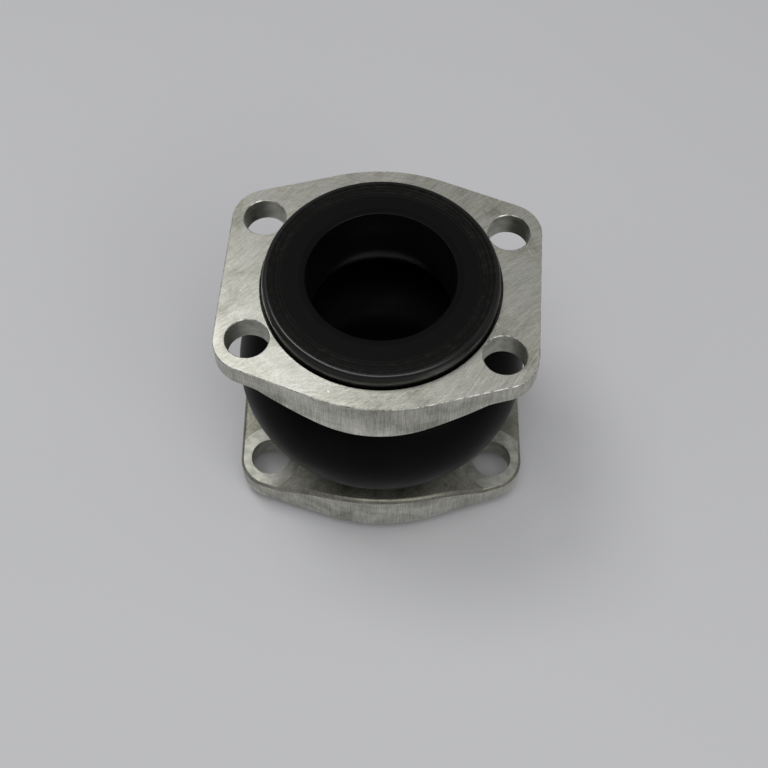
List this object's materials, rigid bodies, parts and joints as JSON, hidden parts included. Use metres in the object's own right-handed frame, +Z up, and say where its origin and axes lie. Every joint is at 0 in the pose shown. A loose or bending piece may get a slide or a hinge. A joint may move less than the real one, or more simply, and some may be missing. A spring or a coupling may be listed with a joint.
{
  "type": "rubber expansion joint",
  "caption": "Single-arch rubber bellows expansion joint with steel-cored beads and two loose oval-pattern bolt flanges that swivel on them.",
  "frame": {"origin": "centre of the lower sealing face, where the joint stands", "axes": "+Z up along the pipe axis; +X along the long side of the upper flange's bolt pattern; +Y away from the viewer"},
  "size_m": [0.1388, 0.1306, 0.13],
  "materials": {
    "alloy": "sawn and milled light alloy, bare",
    "cover_rubber": "smooth moulded, slightly glossy",
    "tube_rubber": "smooth moulded, satin",
    "bead_rubber": "matt moulded, finely grooved",
    "cord": "rubberised nylon cord",
    "core_steel": "drawn wire"
  },
  "bodies": {
    "lower_end": {"lower_bead": "bead_rubber", "lower_core_ring": "core_steel"},
    "lower_flange_body": {"lower_flange": "alloy"},
    "wall_lateral": {"inner_tube": "tube_rubber", "inner_cord_ply": "cord"},
    "wall_axial": {"outer_cord_ply": "cord", "outer_cover": "cover_rubber"},
    "upper_end": {"upper_bead": "bead_rubber", "upper_core_ring": "core_steel"},
    "upper_flange_body": {"upper_flange": "alloy"}
  },
  "joints": [
    {"name": "lower_flange_swivel", "type": "hinge", "parent": "lower_end", "child": "lower_flange_body", "pos_m": [0, 0, 0.01], "axis": [0, 0, 1], "continuous": true},
    {"name": "lateral_shift", "type": "slide", "parent": "lower_end", "child": "wall_lateral", "axis": [1, 0, 0], "range_m": [-0.01, 0.01], "stiffness_N_per_m": 90000, "deforming": ["inner_tube", "inner_cord_ply", "outer_cord_ply", "outer_cover"]},
    {"name": "axial_travel", "type": "slide", "parent": "wall_lateral", "child": "wall_axial", "axis": [0, 0, 1], "range_m": [-0.012, 0.008], "stiffness_N_per_m": 60000, "deforming": ["inner_tube", "inner_cord_ply", "outer_cord_ply", "outer_cover"]},
    {"name": "angular_bend", "type": "hinge", "parent": "wall_axial", "child": "upper_end", "pos_m": [0, 0, 0.065], "axis": [0, 1, 0], "range_deg": [-10, 10], "stiffness_Nm_per_rad": 90, "deforming": ["inner_tube", "inner_cord_ply", "outer_cord_ply", "outer_cover"]},
    {"name": "upper_flange_swivel", "type": "hinge", "parent": "upper_end", "child": "upper_flange_body", "pos_m": [0, 0, 0.12], "axis": [0, 0, 1], "continuous": true}
  ]
}
